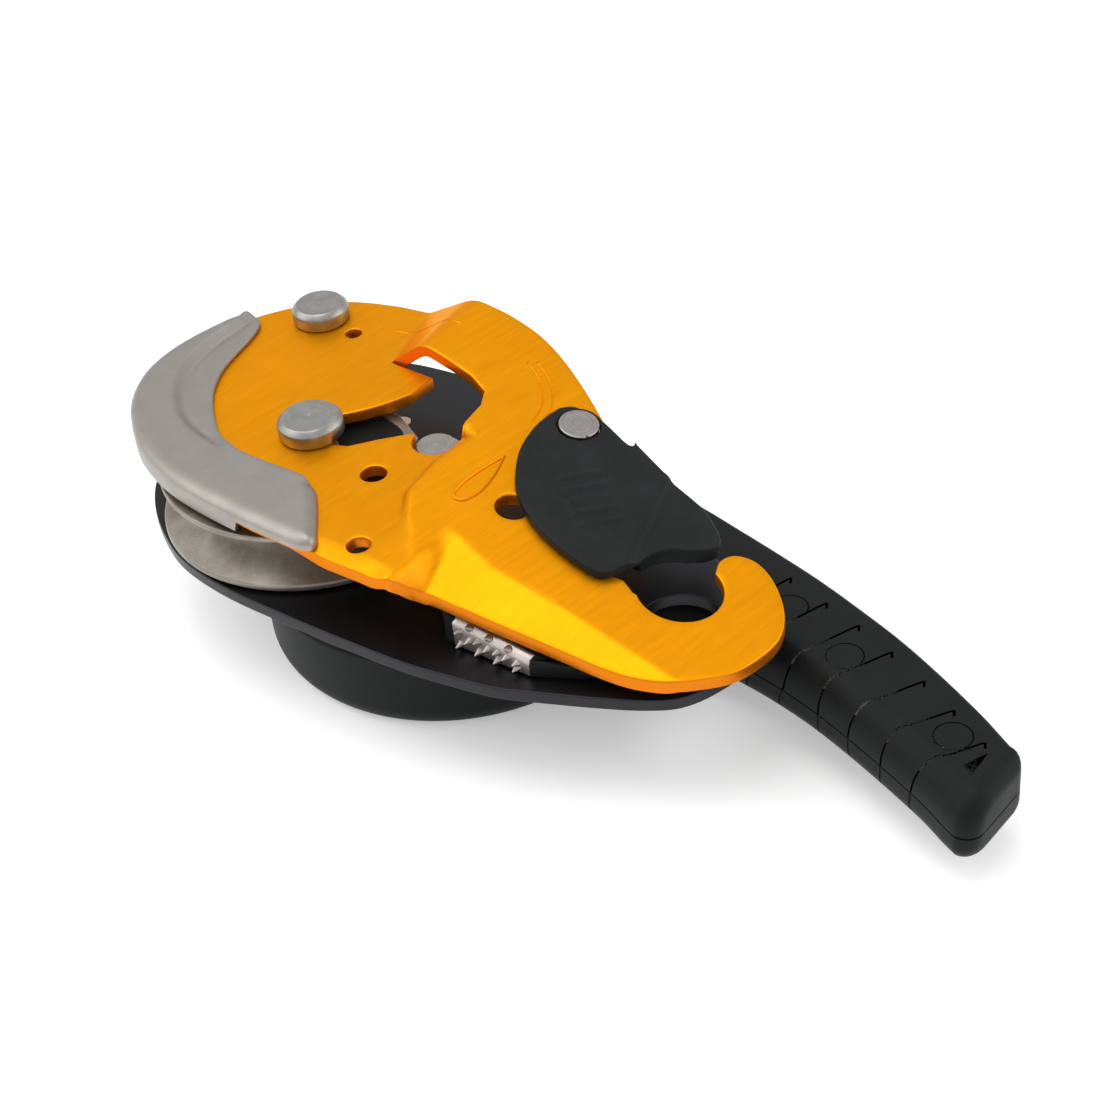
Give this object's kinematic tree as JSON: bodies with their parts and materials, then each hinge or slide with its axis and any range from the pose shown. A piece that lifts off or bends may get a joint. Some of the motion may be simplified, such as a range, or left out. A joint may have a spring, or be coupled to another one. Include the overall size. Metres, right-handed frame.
{
  "type": "belay device",
  "caption": "Self-braking belay device and descender: two side plates, swinging front plate with gate, pivoting cam, toothed catch and folding handle.",
  "frame": {"origin": "centre of the attachment hole on the front face of the fixed side plate", "axes": "+X from the head towards the attachment end, +Z out of the fixed plate's front face towards the moving plate, +Y to the side of the gate"},
  "size_m": [0.227, 0.0947, 0.0569],
  "materials": {
    "black_plate": "black anodised, satin",
    "yellow_plate": "orange-yellow anodised, brushed",
    "turned_steel": "turned, satin",
    "cast_steel": "cast, tumbled",
    "guard_steel": "formed sheet, satin",
    "dark_steel": "hardened, grey",
    "bronze": "sintered",
    "gate_plastic": "fine grained",
    "handle_plastic": "fine grained",
    "nylon": "smooth"
  },
  "bodies": {
    "frame": {"fixed_side_plate": "black_plate", "pivot_stud": "turned_steel", "pivot_spacer": "dark_steel", "cam_axle": "turned_steel", "hub_axle": "turned_steel", "axle_sleeve": "dark_steel", "axle_nut": "dark_steel", "thrust_washer": "nylon", "friction_block": "dark_steel", "block_rivets": "turned_steel", "catch_pin": "turned_steel", "stop_pin": "turned_steel"},
    "moving_plate": {"moving_side_plate": "yellow_plate", "pivot_bush": "bronze", "wear_guard": "guard_steel", "guard_rivets": "turned_steel", "gate_rivet": "turned_steel"},
    "gate": {"gate_body": "gate_plastic", "gate_bush": "bronze", "gate_spring": "dark_steel"},
    "cam": {"cam_sheave": "cast_steel", "cam_bush": "bronze", "cam_cover": "gate_plastic", "cam_spring": "dark_steel"},
    "catch": {"catch_lever": "handle_plastic", "toothed_insert": "dark_steel", "catch_spring": "dark_steel"},
    "handle": {"handle_lower_shell": "handle_plastic", "handle_upper_shell": "handle_plastic", "hub_cover": "handle_plastic", "hub_bush": "bronze", "lever_core": "dark_steel", "hub_spring": "dark_steel", "grip_screws": "dark_steel"}
  },
  "joints": [
    {"name": "plate_swing", "type": "hinge", "parent": "frame", "child": "moving_plate", "pos_m": [-0.1275, 0.0277, 0.018], "axis": [0, 0, 1], "range_deg": [-30, 0]},
    {"name": "gate_swing", "type": "hinge", "parent": "moving_plate", "child": "gate", "pos_m": [-0.0441, 0.0233, 0.01851], "axis": [0.2055, 0, 0.9787], "range_deg": [-13, 0], "stiffness_Nm_per_rad": 0.05, "springref_deg": 8.59},
    {"name": "cam_rock", "type": "hinge", "parent": "frame", "child": "cam", "pos_m": [-0.0955, -0.0093, 0.008], "axis": [0, 0, 1], "range_deg": [-7, 10], "stiffness_Nm_per_rad": 0.2},
    {"name": "catch_tilt", "type": "hinge", "parent": "frame", "child": "catch", "pos_m": [-0.0025, -0.0188, 0.002], "axis": [0, 0, 1], "range_deg": [-4, 6], "stiffness_Nm_per_rad": 0.02},
    {"name": "handle_turn", "type": "hinge", "parent": "frame", "child": "handle", "pos_m": [-0.069, 0.0032, -0.014], "axis": [0, 0, 1], "range_deg": [0, 150]}
  ]
}
